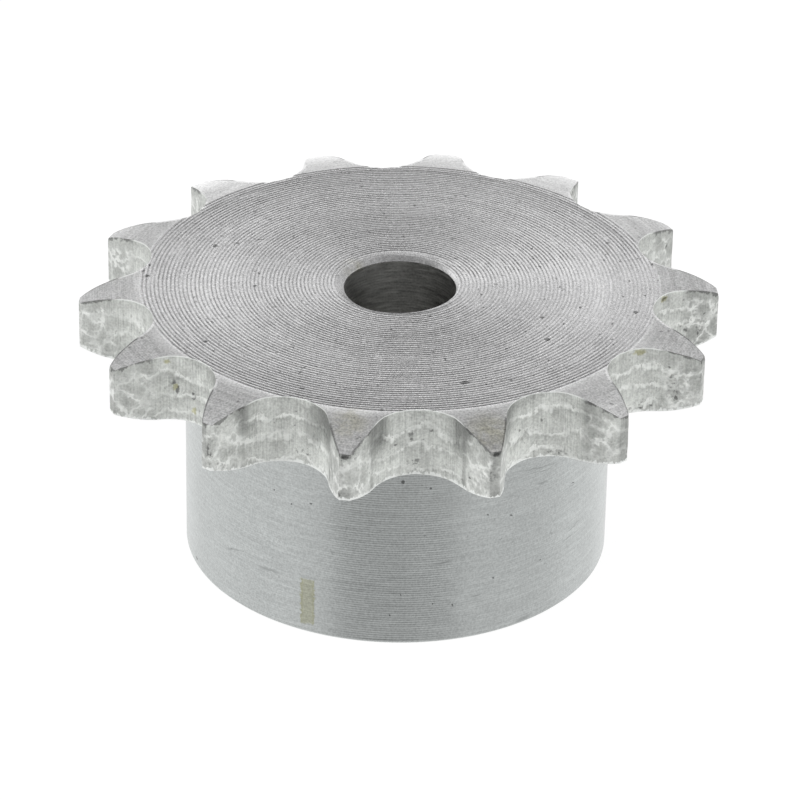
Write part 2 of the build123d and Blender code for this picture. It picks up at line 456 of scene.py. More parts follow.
class Finish:
    """The nodes of one material, or of the world."""

    def __init__(self, owner):
        owner.use_nodes = True
        self.owner, self.tree = owner, owner.node_tree
        self.tree.nodes.clear()

    def node(self, kind, settings=None, sockets=None, output=0):
        """Adds a node, applies its settings, then fills its sockets with values or wires."""
        made = self.tree.nodes.new("ShaderNode" + kind)
        for name, value in (settings or {}).items():
            setattr(made, name, value)
        for name, value in (sockets or {}).items():
            if isinstance(value, Wire):
                self.tree.links.new(value.socket, made.inputs[name])
            else:
                made.inputs[name].default_value = value
        return Wire(self, made.outputs[output]) if made.outputs else None

    def math(self, operation, *values):
        return self.node("Math", {"operation": operation}, dict(enumerate(values)))

    def ramp(self, value, start, end):
        """0 at start, 1 at end, smooth between them."""
        sockets = {"Value": value, "From Min": start, "From Max": end}
        return self.node("MapRange", {"interpolation_type": "SMOOTHSTEP"}, sockets)

    def vector(self, operation, *values, output=0):
        return self.node("VectorMath", {"operation": operation}, dict(enumerate(values)), output)

    def join(self, x, y, z):
        return self.node("CombineXYZ", None, {0: x, 1: y, 2: z})

    def noise(self, place, scale, detail=2.0, roughness=0.5):
        sockets = {"Vector": place, "Scale": scale, "Detail": detail, "Roughness": roughness}
        return self.node("TexNoise", None, sockets)

    def cells(self, place, scale, feature="DISTANCE_TO_EDGE"):
        return self.node("TexVoronoi", {"feature": feature}, {"Vector": place, "Scale": scale})

    def tint(self, factor, under, over, mode="MIX"):
        settings = {"data_type": "RGBA", "blend_type": mode}
        return self.node("Mix", settings, {"Factor": factor, 6: under, 7: over}, 2)

    def apart(self, vector):
        """A vector's x, y and z."""
        parts = self.node("SeparateXYZ", None, {0: vector}).socket.node
        return [Wire(self, socket) for socket in parts.outputs]

    def scaled(self, vector, scale):
        return self.node("VectorMath", {"operation": "SCALE"}, {0: vector, "Scale": scale})

    def coordinates(self):
        """Place on the piece in millimetres, and its x, y and z."""
        place = self.scaled(self.node("TexCoord", output=3), 1 / MM)
        return place, *self.apart(place)

    def rays(self):
        """Whether a ray is the camera's own, and whether what it meets is seen, straight or in the steel."""
        path = self.node("LightPath").socket.node.outputs
        camera = seen = Wire(self, path["Is Camera Ray"])
        for name in ("Is Glossy Ray", "Is Transmission Ray"):
            seen = seen.maths("MAXIMUM", Wire(self, path[name]))
        return camera, seen

    def zones(self, value, places, rows):
        """Adds each row's share to value, as far as all its ramps over the named places let it through."""
        for patch, *ramps in rows:
            for name, start, end in ramps:
                patch = self.ramp(places[name], start, end) * patch
            value = patch + value
        return value

    def mark(self, place, center, size, turn=(0.0, 0.0, 0.0), soft=0.5):
        """1 inside an ellipsoid with the given centre and half sizes, in millimetres."""
        if any(turn):
            sockets = {"Vector": place, "Location": center, "Rotation": turn, "Scale": size}
            inside = self.node("Mapping", {"vector_type": "TEXTURE"}, sockets)
        else:
            inside = self.vector("DIVIDE", self.vector("SUBTRACT", place, center), size)
        return self.ramp(self.vector("LENGTH", inside, output=1), 1.0, 1.0 - soft)

    def marks(self, place, rows, soft=0.5):
        """The strongest of several marks, each a centre, half sizes and maybe a turn."""
        total = None
        for row in rows:
            mark = self.mark(place, *row, soft=soft)
            total = mark if total is None else mark.maths("MAXIMUM", total)
        return total

    def ragged(self, place, scale, reach):
        """The place shifted by noise, up to about reach each way: marks on it get ragged edges."""
        color = self.node("TexNoise", None, {"Vector": place, "Scale": scale, "Detail": 3.0}, 1)
        shift = self.scaled(self.vector("SUBTRACT", color, (0.5, 0.5, 0.5)), 4.0 * reach)
        return self.vector("ADD", place, shift)

    def shaded(self, color, shade):
        """The colour made lighter or darker by shade."""
        return self.tint(1.0, rgba(color), self.join(shade, shade, shade), "MULTIPLY")

    def steel(self, color, roughness, height, depth, anisotropic=0.0, metallic=1.0):
        """Bare steel with its surface relief: height is in millimetres times 1 / depth."""
        bump = self.node("Bump", None, {"Strength": 1.0, "Distance": depth * MM, "Height": height})
        sockets = {"Base Color": color, "Roughness": roughness, "Metallic": metallic, "Normal": bump}
        sockets.update({"Anisotropic": anisotropic, "Anisotropic Rotation": 0.25})
        surface = self.node("BsdfPrincipled", None, sockets)
        self.node("OutputMaterial", None, {"Surface": surface})
        return self.owner


def rgba(color):
    return (*color, 1.0)


def gap_place(x, y, radius, gaps):
    """A place in its own gap, with the gap turned onto +X: the gap's turn from the front, the place's offsets
    from the centre of the roller seat and its turn round it from the root."""
    pitch = math.tau / gaps.teeth
    around = y.maths("ARCTAN2", x)
    local = (((around + math.pi / 2) / pitch).maths("FRACT") - 0.5) * pitch
    local_x = radius * local.maths("COSINE") - (gaps.root_radius + gaps.seat_radius) / MM
    local_y = radius * local.maths("SINE")
    return around - local - FRONT, local_x, local_y, local_y.maths("ARCTAN2", local_x * -1.0)


class Steel(Finish):
    """Bare steel that is marked by its place on the sprocket."""

    def __init__(self, name, blank, gaps, stain):
        super().__init__(bpy.data.materials.new(name))
        self.blank, self.gaps, self.stain = blank, gaps, rgba(stain)
        self.place, self.x, self.y, self.z = self.coordinates()
        self.radius = (self.x * self.x + self.y * self.y) ** 0.5

    def spots(self, noise, ramp):
        """Where a noise (scale, detail and roughness) passes from a ramp's start to its end."""
        return self.ramp(self.noise(self.place, *noise), *ramp)

    def torn_marks(self, rows, edge, soft=0.5):
        """Marks with ragged edges: edge is the scale and the reach of the noise on them."""
        return self.marks(self.ragged(self.place, *edge), rows, soft)


class TurnedSteel(Steel):
    """Steel off the lathe: lines round the axis, torn and broken, with grain, specks and smudges."""

    # Noises: scale, detail and roughness. Noises that are drawn out round the axis have two scales, round it
    # and along it. The scales of the streaks and the grain are in each surface's look
    streak_noise = (3.0, 0.6)
    broad_noise = (3.0, 1.1, 3.0, 0.55)
    grain_noise = (2.0, 0.6)
    blotch_noise = (0.22, 3.0, 0.55)
    speck_noise = (1.9, 1.0, 0.5)
    tinge_noise = (0.7, 3.0, 0.6)
    # Where a wave or a noise starts to show, and where it shows in full
    grain_ramp = (0.30, 0.70)
    speck_ramp = (0.71, 0.78)
    valley_ramp = (-0.5, 1.0)
    streak_ramp = (0.24, 0.56)
    tinge_ramp = (0.30, 0.60)
    broad_share = 0.6
    line_middle = 0.3
    # Edges of the gaps: degrees past a seat's end, how far the wall turns away, millimetres from the wall
    joint_ramp = (-6.0, 4.0)
    away_ramp = (0.15, -0.15)
    seat_ramp = (0.30, 0.12)
    flank_ramp = (0.24, 0.10)
    # Ragged edges: the noise's scale and its reach
    dent_edge = (3.0, 0.12)
    scuff_edge = (1.6, 0.3)
    dent_tone = 0.66
    dent_depth = 3.0
    tinge_tone = 0.34
    streak_roughness = 0.12
    blotch_roughness = 0.10
    relief_depth = 0.01

    def __init__(self, name, look, blank, gaps, stain):
        super().__init__(name, blank, gaps, stain)
        self.look = look
        self.along = self.section()
        self.right, self.back = self.x / self.radius, self.y / self.radius

    def section(self):
        """Distance along the half section, in millimetres."""
        return self.radius + self.z

    def turns(self):
        """Turns of the tool up to a place."""
        return (self.look["start"] - self.along) / self.look["pitch"]

    def drawn_out(self, along, arc, fine, detail, roughness):
        """Noise drawn out round the axis."""
        return self.noise(self.join(self.right * arc, self.back * arc, along * fine), 1.0, detail, roughness)

    def finished(self, color):
        """Adds the nodes and returns the material."""
        look = self.look
        self.streaks = self.drawn_out(self.along, look["arc"], look["fine"], *self.streak_noise)
        self.broad = self.drawn_out(self.along, *self.broad_noise)
        self.valley = (self.turns() * math.tau).maths("COSINE") * -1.0
        self.grain = self.spots((look["grain"], *self.grain_noise), self.grain_ramp)
        blotch = self.noise(self.place, *self.blotch_noise)
        specks = self.spots(self.speck_noise, self.speck_ramp)
        # The feed lines, painted darker in their valleys as shade in the grooves, where the streaks let them
        # through
        self.line = self.ramp(self.valley, *self.valley_ramp)
        self.line *= self.ramp(self.streaks + (self.broad - 0.5) * self.broad_share, *self.streak_ramp)
        self.metallic = look["metallic"]
        self.shape_lines()
        self.height = self.streaks * look["streaks"] - self.valley * look["feed"] * self.broad
        self.height += self.grain * look["grit"]
        self.shade = 1.0 + (self.streaks - 0.5) * look["streak_tone"]
        self.shade += (self.grain - 0.5) * look["grain_tone"] + (blotch - 0.5) * look["blotch_tone"]
        self.shade += (self.broad - 0.5) * look["broad_tone"]
        self.tone_ground()
        self.shade -= (self.line - self.line_middle) * look["line_tone"]
        self.shade *= 1.0 - specks * look["speck_tone"]
        self.tone_lines()
        if look["dents"]:
            dents = self.torn_marks(look["dents"], self.dent_edge)
            self.shade *= 1.0 - dents * self.dent_tone
            self.height -= dents * self.dent_depth
        colored = self.stained(self.shaded(color, self.shade))
        tinge = self.marks(self.place, TINGES, soft=0.9) * self.spots(self.tinge_noise, self.tinge_ramp)
        colored = self.tint(tinge * self.tinge_tone, colored, self.stain, "MULTIPLY")
        roughness = look["roughness"] + (self.streaks - 0.5) * self.streak_roughness
        roughness += (blotch - 0.5) * self.blotch_roughness
        relief = (self.height, self.relief_depth)
        return self.steel(colored, roughness, *relief, look["anisotropic"], self.metallic)

    def shape_lines(self):
        """Changes the feed lines, where a surface has more to them."""

    def tone_ground(self):
        """Changes the shade before the feed lines are on it."""

    def tone_lines(self):
        """Changes the shade after the feed lines are on it."""

    def stained(self, colored):
        """Adds a stain, where a surface has one."""
        return colored

    def find_gap(self):
        """Finds a place on top in its own gap, and whether the gap's wall turns away there."""
        gap_turn, self.local_x, self.local_y, signed = gap_place(self.x, self.y, self.radius, self.gaps)
        self.half_seat = self.gaps.seat_angle / 2
        start, end = [math.degrees(self.half_seat) + past for past in self.joint_ramp]
        self.upper = self.ramp(abs(signed) * DEGREES, start, end)
        self.away = self.ramp((gap_turn - signed).maths("COSINE"), *self.away_ramp)

    def seat_edges(self):
        """How near a place on top is to the edges of the roller seats that turn away."""
        away = (self.local_x * self.local_x + self.local_y * self.local_y) ** 0.5
        depth = away - self.gaps.seat_radius / MM
        return self.away * self.ramp(depth, *self.seat_ramp) * (1.0 - self.upper)

    def flank_edges(self):
        """How near a place on top is to the edges of the flanks that turn away."""
        reach = (self.gaps.seat_radius + self.gaps.flank_radius) / MM
        off_x = self.local_x + reach * math.cos(self.half_seat)
        off_y = abs(self.local_y) - reach * math.sin(self.half_seat)
        depth = self.gaps.flank_radius / MM - (off_x * off_x + off_y * off_y) ** 0.5
        return self.away * self.ramp(depth, *self.flank_ramp) * self.upper


class FacedSteel(TurnedSteel):
    """The rim's turned face, and the chamfer that a countersink cut into it."""

    # The face as a whole: its level, and its painted highlight, lighter towards two opposite corners and the
    # back
    level, corner_tone, back_tone = 0.93, 0.11, 0.045
    # The chamfer's edge: how soft it is, and the bright edge along it, a painted highlight, with the wave of
    # its two sides
    edge_blend = 0.04
    lip_ramp, lip_wave = (0.14, 0.04), 0.12
    # The painted highlight along the chamfer's edge, and the chamfer's loss of metal: everywhere, and more on
    # the right
    lip_tones = (0.08, 0.3)
    chamfer_metal = (0.55, 0.4)
    # The chamfer's painted shade: how dark it is, and more at the back
    chamfer_tone, chamfer_back_tone = 0.16, 0.12
    # The last cut round the chamfer, painted darker towards the back as a shade that takes from its
    # reflection: where it fades out, where it is full, and its tone
    last_cut, last_cut_tone = (0.95, 0.15), 0.17
    # Painted highlight along the edges of the roller seats on top
    seat_edge_tone = 0.22
    scuff_tone = 0.5

    def section(self):
        return self.radius

    def turns(self):
        """The feed is finer inside the radius where it changes."""
        closer = 1 / (self.blank.inner_pitch / MM) - 1 / self.look["pitch"]
        return super().turns() + (self.blank.feed_change / MM - self.along).maths("MAXIMUM", 0.0) * closer

    def shape_lines(self):
        """Stops the grooves at the chamfer, and paints their lines fainter or stronger from zone to zone, as
        the light shows them.
        """
        middle_x, middle_y, self.reach = CHAMFER_EDGE
        off_x, off_y = self.x - middle_x, self.y - middle_y
        self.edge = (off_x * off_x + off_y * off_y) ** 0.5
        self.chamfer = self.ramp(self.edge, self.reach + self.edge_blend, self.reach - self.edge_blend)
        # A painted highlight along the chamfer's outer edge
        off_edge = abs(self.edge - self.reach) + (self.streaks - 0.5) * self.lip_wave
        self.lip = self.ramp(off_edge, *self.lip_ramp)
        self.line = self.line * (1.0 - self.chamfer) + self.chamfer * self.line_middle
        self.places = {
            "radius": self.radius,
            "right": self.right,
            "back": self.back,
            "slant": self.right * SLANT[0] + self.back * SLANT[1],
            "off_groove": abs(self.radius - OUTER_GROOVE),
            "y": self.y,
        }
        # The feed lines painted fainter or stronger from zone to zone, as the light shows them
        for rows in FACE_LINES:
            self.line *= self.zones(1.0, self.places, rows)
        self.line = self.zones(self.line, self.places, OUTER_GROOVE_LINE)
        everywhere, right = self.chamfer_metal
        self.metallic -= self.chamfer * (everywhere + self.ramp(self.right, 0.3, 0.9) * right)

    def tone_lines(self):
        """Paints light and shade on the zones of the face, shade on the last cut round the chamfer and on the
        chamfer, a highlight along the chamfer's outer edge and along the seats' edges.
        """
        scuffs = self.torn_marks(FACE_SCUFFS, self.scuff_edge, soft=0.8)
        # Painted highlight, lighter towards two opposite corners and the back
        across = self.right * self.back * self.corner_tone
        self.shade *= self.level + across + self.back * self.back * self.back_tone
        # The face's painted light and shade, zone by zone
        for rows in FACE_TONES:
            self.shade *= self.zones(1.0, self.places, rows)
        # Painted shade on the last cut round the chamfer, more towards the back
        start, end = [self.reach + width for width in self.last_cut]
        last_cut = self.ramp(self.edge, start, end) * (1.0 - self.chamfer) * self.ramp(self.back, -0.2, 0.8)
        self.shade *= 1.0 - last_cut * self.last_cut_tone
        # Painted shade on the chamfer
        darker = self.back * self.chamfer_back_tone + self.chamfer_tone
        self.shade *= 1.0 - self.chamfer * self.zones(darker, self.places, CHAMFER_TONES)
        # The painted highlight along the chamfer's outer edge, brighter on the right
        everywhere, right = self.lip_tones
        self.shade += self.lip * (everywhere + self.ramp(self.right, 0.4, 1.0) * right)
        self.shade += scuffs * self.grain * self.scuff_tone
        # A painted highlight along the seats' edges that turn away
        self.find_gap()
        self.shade += self.seat_edges() * self.seat_edge_tone


class ReliefSteel(TurnedSteel):
    """The rounded sides of the teeth."""

    # Painted highlight along the seats' edges
    seat_edge_tone = 0.5
    # How much painted shadow darkens the flanks' edges: everywhere, and more where a streak crosses them
    flank_edge_tone, flank_streak_tone = 0.35, 0.3

    def tone_ground(self):
        """Paints light and shade on the teeth, each by its place, with a shadow along the flanks' edges and a
        highlight along the seats' edges.
        """
        self.find_gap()
        places = {"radius": self.radius, "x": self.x, "y": self.y, "off_front": abs(self.x + 1.5)}
        # Painted light and shade on each tooth by its place
        self.shade = self.zones(self.shade, places, RELIEF_TONES)
        # A painted shadow along the edges of the flanks that turn away
        edges = self.flank_edge_tone + self.ramp(self.streaks, 0.3, 0.6) * self.flank_streak_tone
        self.shade *= 1.0 - self.flank_edges() * edges
        self.shade += self.seat_edges() * self.seat_edge_tone
        self.shade = self.zones(self.shade, places, LEFT_TOOTH_TONES)


class HubSteel(TurnedSteel):
    """The hub, where the feed lines are painted to show most at the front, as its reflection shows them, and
    some of them are deeper than others.
    """

    long_noise = (1.6, 3.4, 2.0, 0.7)
    long_ramp = (0.56, 0.70)
    # Tones of the feed's valleys, its deepest lines and the long noise, painted stronger in front where the
    # reflection shows them; in a pair, everywhere and in front
    valley_tone, long_valley_tone = 0.03, 0.15
    deep_tones = (0.04, 0.17)
    long_tone = 0.20
    line_shares = (0.3, 0.7)
    # Painted light: how light the hub is painted, everywhere and more in front than at its sides
    levels = (0.965, 0.08)
    rub_edge = (1.6, 0.14)
    rub_tone, rub_grain_tone = 0.10, 0.30
    scuff_tone = 0.09
    # The oil stain: its wavy edge, how dark it is inside and how much darker near the edge
    wave_noise = (2.2, 2.0, 0.6)
    wave_shares = (0.6, 0.16)
    stain_tone, stain_edge_tone = 0.42, 0.18

    def tone_ground(self):
        # The hub's front, where its lines are painted strongest and its shade is painted lighter
        band = self.mark(self.place, *HUB_LINES, soft=0.5)
        long = self.drawn_out(self.z, *self.long_noise)
        pairs = (self.deep_tones, self.line_shares, self.levels)
        deep, shares, levels = [everywhere + band * front for everywhere, front in pairs]
        self.shade -= self.valley * band * (self.valley_tone + long * self.long_valley_tone)
        self.shade -= self.ramp(long, *self.long_ramp) * deep
        self.shade += (long - 0.5) * band * self.long_tone
        self.line *= shares
        self.shade *= levels

    def tone_lines(self):
        rubs = self.torn_marks(HUB_RUBS, self.rub_edge, soft=0.8)
        scuffs = self.torn_marks(HUB_SCUFFS, self.scuff_edge, soft=0.8)
        self.shade *= 1.0 - rubs * (self.rub_tone + self.grain * self.rub_grain_tone)
        self.shade += scuffs * self.grain * self.scuff_tone

    def stained(self, colored):
        """A smear of dried oil with a wavy edge, on the front of the hub."""
        middle, rise, half, tall = HUB_STAIN
        noise_share, streak_share = self.wave_shares
        wavy = (self.noise(self.place, *self.wave_noise) - 0.5) * noise_share
        wavy += (self.streaks - 0.5) * streak_share
        aside = abs(self.x - middle) + wavy
        patch = self.ramp(aside, half + 0.10, half - 0.10)
        patch *= self.ramp(abs(self.z - rise) + wavy, tall + 0.15, tall - 0.15) * self.ramp(self.y, 0.0, -1.0)
        patch *= self.stain_tone + self.ramp(aside, half - 0.30, half - 0.05) * self.stain_edge_tone
        return self.tint(patch, colored, self.stain, "MULTIPLY")


class BoredSteel(TurnedSteel):
    """The wall of the bore, with light painted on its left."""

    # Where the painted light on the left starts and where it is full, and how much it lightens
    left_ramp, left_tone = (0.5, -4.5), 0.75

    def tone_ground(self):
        self.shade += self.ramp(self.x, *self.left_ramp) * self.left_tone


class HobbedSteel(Steel):
    """Torn steel on the walls of the tooth gaps: scales, feed bands, upright scores, white torn metal with
    painted glints, painted highlights on the burrs, and painted shadows.
    """

    # Noises: scale, detail and roughness
    warp_noise = (1.6, 3.0, 0.6)
    broken_noise = (0.8, 2.0, 0.6)
    drift_noise = (0.35, 1.0, 0.5)
    grain_noise = (4.5, 2.0, 0.6)
    blotch_noise = (0.45, 3.0, 0.6)
    speck_noise = (2.4, 1.0, 0.5)
    fray_noise = (4.2, 2.0, 0.7)
    # Noises drawn out upwards, and the torn scales: how many to a millimetre along X, Y and Z
    score_spacing = (8.5, 8.5, 0.25)
    serration_spacing = (3.2, 3.2, 0.25)
    scale_spacing = (0.54, 0.54, 0.48)
    # Where a noise starts to show, and where it shows in full
    broken_ramp = (0.40, 0.62)
    grain_ramp = (0.30, 0.70)
    speck_ramp = (0.74, 0.80)
    fray_ramp = (0.54, 0.66)
    serration_ramp = (0.26, 0.50)
    # Ragged edges: the noise's scale and its reach
    scale_edge = (1.5, 0.36)
    pit_edge = (2.6, 0.14)
    # Colours of the torn white metal with its painted glints, and of the painted highlights on the burrs
    # along the edges
    torn_white = (0.96, 0.975, 0.95, 1.0)
    burr_white = (0.94, 0.96, 0.94, 1.0)
    white_cover, burr_cover, stain_cover = 0.86, 0.9, 0.62
    # How much darker the painted shadow line under the flanks' top edge, the pits, the specks and the notched
    # tips are
    dull_tone, pit_tone, speck_tone, notch_tone = 0.58, 0.62, 0.45, 0.35
    # How much the noises change the shade, and the painted shade in the hollow of each scale; on the flanks
    # the scores and the blotches do less
    score_tones, blotch_tones, grain_tone, scoop_tone = (0.80, 0.30), (0.96, 0.40), 0.28, 0.34
    # Painted shadow under each band, lighter deep in the seats, painted shade in the creases, darker tip
    # lands, and painted light on the far sides of the front teeth
    under_tone, deep_tone, crease_tone, tip_tone, glance_tone = 0.12, 0.08, 0.05, 0.16, 0.16
    # Painted shade on the flank of the tooth on the right
    right_side_tone = 0.14
    # How much darker the flanks are painted, and the painted shadow: everywhere, and more on a gap's right
    flank_tones, shadow_tones = (0.13, 0.07), (0.56, 0.04)
    # How much the painted dark patches take from the shade, and how much the painted shadow and those patches
    # take from the white metal
    drab_tone, shadow_white, drab_white = 0.28, 0.85, 0.7
    # Heights, before they are scaled by the relief's depth
    rag_height, score_height, flank_score_height, grain_height = 3.0, 3.4, 1.2, 1.4
    blotch_height, band_height, scoop_height, pit_height = 6.0, 2.4, 3.0, 4.0
    # Roughness: of the bare wall, of the white metal, and from the blotches
    bare_roughness, white_roughness, blotch_roughness = 0.52, 0.15, 0.2
    relief_depth = 0.012
    metallic = 0.30

    def upright(self, spacing):
        """Noise drawn out upwards."""
        return self.noise(self.vector("MULTIPLY", self.place, spacing), 1.0, 2.0, 0.6)

    def finished(self, color):
        """Adds the nodes and returns the material."""
        self.find_wall()
        self.find_edges()
        self.tear_scales()
        self.end_passes()
        self.grain = self.spots(self.grain_noise, self.grain_ramp)
        self.blotch = self.noise(self.place, *self.blotch_noise)
        self.specks = self.spots(self.speck_noise, self.speck_ramp)
        self.whiten()
        self.fray_edges()
        # Painted shadow in the cheeks and the creases
        self.shadow = self.room_shadow()
        # Patches painted darker: a painted shadow at the end of one seat, and two darker tip lands
        self.drab = self.marks(self.place, WALL_SHADES, soft=0.6)
        self.white *= (1.0 - self.shadow * self.shadow_white) * (1.0 - self.drab * self.drab_white)
        self.pits = self.torn_marks(WALL_PITS, self.pit_edge)
        frays = self.marks(self.place, WALL_FRAYS, soft=0.7) * self.spots(self.fray_noise, self.fray_ramp)
        self.pits = self.pits.maths("MAXIMUM", frays)
        height = self.torn_height()
        colored = self.shaded(color, self.shade())
        # The white torn metal, partly painted glints on its ridges
        colored = self.tint(self.white * self.white_cover, colored, self.torn_white)
        # Painted highlights on the burrs and along the seats' top edges
        burrs = self.burr.maths("MAXIMUM", self.rim_line)
        colored = self.tint(burrs * self.burr_cover, colored, self.burr_white)
        stains = self.torn_marks(WALL_STAINS, self.pit_edge)
        colored = self.tint(stains * self.stain_cover, colored, self.stain, "MULTIPLY")
        roughness = self.bare_roughness + self.white * self.white_roughness
        roughness += (self.blotch - 0.5) * self.blotch_roughness
        return self.steel(colored, roughness, height, self.relief_depth, 0.0, self.metallic)

    def find_wall(self):
        """Finds a place on its gap's wall, how far the wall turns away from the front, and the creases at the
        seats' ends where shade is painted.
        """
        self.gap_turn, _, self.local_y, signed = gap_place(self.x, self.y, self.radius, self.gaps)
        self.lean = abs(signed) * DEGREES
        self.facing = (self.gap_turn - signed).maths("COSINE")
        self.sideways = self.ramp(self.facing, 0.92, 0.62)
        self.sideways *= self.ramp(self.gap_turn.maths("COSINE"), 0.2, 0.75)
        self.joint = math.degrees(self.gaps.seat_angle) / 2
        self.flank = self.ramp(self.lean, self.joint - 2.0, self.joint + 12.0)
        # Painted shade in the creases at the seats' ends, where the wall turns from the front
        self.crease = self.ramp(abs(self.lean - (self.joint + 6.5)), 5.5, 1.5)
        self.crease *= self.ramp(self.facing, 0.72, 0.58)

    def find_edges(self):
        """Finds the depths below and above the tooth's rounded sides, and the cheeks where a shadow is
        painted, wide just under the top.
        """
        blank, joint = self.blank, self.joint
        top = self.edge_height(blank.overall_length, blank.front_relief_width, -1.0)
        base = self.edge_height(blank.overall_length - blank.rim_thickness, blank.back_relief_width, 1.0)
        self.below, self.above = top - self.z, self.z - base
        self.rightward = self.ramp(self.local_y, -1.0, 1.0)
        # The painted shadow in the cheeks: wide just under the top, narrower deeper down
        start, end = self.below * 5.5 + (joint - 58.0), self.below * 2.5 + (joint - 22.0)
        self.cheek = self.ramp(self.lean, start, end)
        self.cheek *= self.ramp(self.lean, joint + 25.0, joint + 10.0 - self.below * 3.0)

    def edge_height(self, plane, width, side):
        """Height of a tooth's rounded side, in millimetres: side is -1 at the face, 1 at the hub."""
        start = (self.blank.tip_radius - width) / MM
        arc = self.blank.relief_radius / MM
        run = (self.radius - start).maths("MAXIMUM", 0.0)
        drop = arc - (arc * arc - run * run) ** 0.5
        return plane / MM + drop * side

    def tear_scales(self):
        """Torn scales with ragged pale edges, whole in some places and broken in others."""
        self.warp = self.noise(self.place, *self.warp_noise)
        self.scores = self.upright(self.score_spacing)
        spaced = self.vector("MULTIPLY", self.ragged(self.place, *self.scale_edge), self.scale_spacing)
        borders = self.cells(spaced, 1.0)
        self.scoop = self.cells(spaced, 1.0, "F1")
        borders += (self.scores - 0.5) * 0.07
        self.rags = self.ramp(borders, 0.10, 0.03) * 0.80 + self.ramp(borders, 0.24, 0.03) * 0.30
        self.broken = self.spots(self.broken_noise, self.broken_ramp)

    def end_passes(self):
        """A ragged band at the end of each pass of the hob."""
        self.serration = self.upright(self.serration_spacing)
        drift = self.noise(self.place, *self.drift_noise)
        wavy = self.z + (drift - 0.5) * 3.2 + (self.warp - 0.5) * 1.3 + (self.serration - 0.5) * 0.8
        self.passes = (wavy / (self.gaps.feed / MM) + 0.35).maths("FRACT")
        self.bands = self.ramp(self.passes, 0.66, 0.90) * self.ramp(self.passes, 1.0, 0.95)
        self.bands *= self.ramp(self.serration + (self.warp - 0.5) * 0.6, *self.serration_ramp)

    def whiten(self):
        """Finds the torn white metal with its painted glints on the scales and the bands, and the painted
        shadow under each band.
        """
        self.white = self.rags * (self.flank * 0.72 + 0.10) * (self.broken * 0.65 + 0.35)
        self.white += self.bands * (self.broken * 0.55 + 0.45) * (1.0 - self.flank * 0.70)
        # A painted shadow under each band
        self.under = self.ramp(self.passes, 0.30, 0.62) * self.ramp(self.passes, 0.80, 0.68)
        self.under *= 1.0 - self.flank
        self.white = self.white.maths("MINIMUM", 1.0)
        self.white *= self.ramp(self.below + (self.warp - 0.5) * 1.2, 0.5, 1.3)

    def fray_edges(self):
        """Painted highlights on the burrs at the foot of the walls and along the seats' top edges, a painted
        shadow line under the flanks' top edge, and a notched edge at the tips in front.
        """
        warp, serration = self.warp - 0.5, self.serration - 0.5
        # A painted highlight on the burrs at the foot of the walls, and along the seats' top edges
        self.burr = self.ramp(self.above + warp * 0.8 + serration * 0.9, 0.26, 0.08)
        self.rim_line = self.ramp(self.below + warp * 0.15, 0.17, 0.06) * (1.0 - self.flank)
        # A painted shadow line under each flank's top edge
        self.dull = self.ramp(self.below + warp * 1.3 + serration * 0.7, 0.30, 0.12) * self.flank
        self.tip = self.blank.tip_radius / MM
        self.notch = self.ramp(self.radius, self.tip - 0.22, self.tip - 0.12)
        self.notch *= self.ramp(self.below + warp * 1.1, 0.48, 0.30)
        self.notch *= self.ramp((self.y.maths("ARCTAN2", self.x) - FRONT).maths("COSINE"), 0.84, 0.93)

    def room_shadow(self):
        """The painted shadow where the room's light does not come in: the cheeks, and the creases at the ends
        of the seats.
        """
        cheek = self.cheek * self.ramp(self.below + (self.warp - 0.5) * 1.2, 5.2, 1.2)
        return self.sideways * cheek.maths("MAXIMUM", self.crease * 0.52)

    def torn_height(self):
        """Height of the torn metal, before it is scaled by the relief's depth."""
        scores = self.score_height - self.flank * self.flank_score_height
        height = self.rags * self.rag_height * self.broken + self.scores * scores
        height += self.grain * self.grain_height + self.blotch * self.blotch_height
        height += self.bands * self.band_height
        return height + self.scoop * self.flank * self.scoop_height - self.pits * self.pit_height

    def shade(self):
        """How light the torn metal is, with its painted light and shade."""
        scores, blotches = [full - self.flank * less for full, less in (self.score_tones, self.blotch_tones)]
        pairs = (self.flank_tones, self.shadow_tones)
        flank, shadow = [everywhere + self.rightward * right for everywhere, right in pairs]
        shade = 1.0 + (self.scores - 0.5) * scores + (self.grain - 0.5) * self.grain_tone
        # The blotches, and the painted shadow under each band
        shade += (self.blotch - 0.5) * blotches - self.under * self.under_tone
        # Painted shade in the hollow of each scale on the flanks
        shade -= (0.5 - self.scoop) * self.flank * self.scoop_tone
        shade += self.ramp(self.below, 2.5, 5.0) * (1.0 - self.flank) * self.deep_tone
        # Painted shadow line under the top edge, pits, specks, notched tips, and painted shade in the creases
        # and on the flanks
        for mark, tone in (
            (self.dull, self.dull_tone),
            (self.pits, self.pit_tone),
            (self.specks, self.speck_tone),
            (self.notch, self.notch_tone),
            (self.crease, self.crease_tone),
            (self.flank, flank),
        ):
            shade *= 1.0 - mark * tone
        # Painted shade on the flank of the tooth on the right
        right_side = self.ramp(self.x, 24.0, 28.0) * self.ramp(self.y, -1.0, 3.0)
        shade *= 1.0 - right_side * self.flank * self.right_side_tone
        # The painted shadow
        shade *= 1.0 - self.shadow * shadow
        # The far side of each front tooth catches the light near its tip
        glance = self.ramp(self.facing, 0.52, 0.36) * self.ramp(self.facing, 0.0, 0.2) * self.flank
        shade *= (1.0 + glance * self.glance_tone) * (1.0 - self.drab * self.drab_tone)
        return shade * (1.0 - self.ramp(self.radius, self.tip - 0.12, self.tip - 0.04) * self.tip_tone)


def deselect():
    """Leaves object mode with nothing selected."""
    if bpy.context.object and bpy.context.object.mode != "OBJECT":
        bpy.ops.object.mode_set(mode="OBJECT")
    bpy.ops.object.select_all(action="DESELECT")


def only(piece):
    """Makes piece the only selected object, and the active one."""
    deselect()
    piece.select_set(True)
    bpy.context.view_layer.objects.active = piece


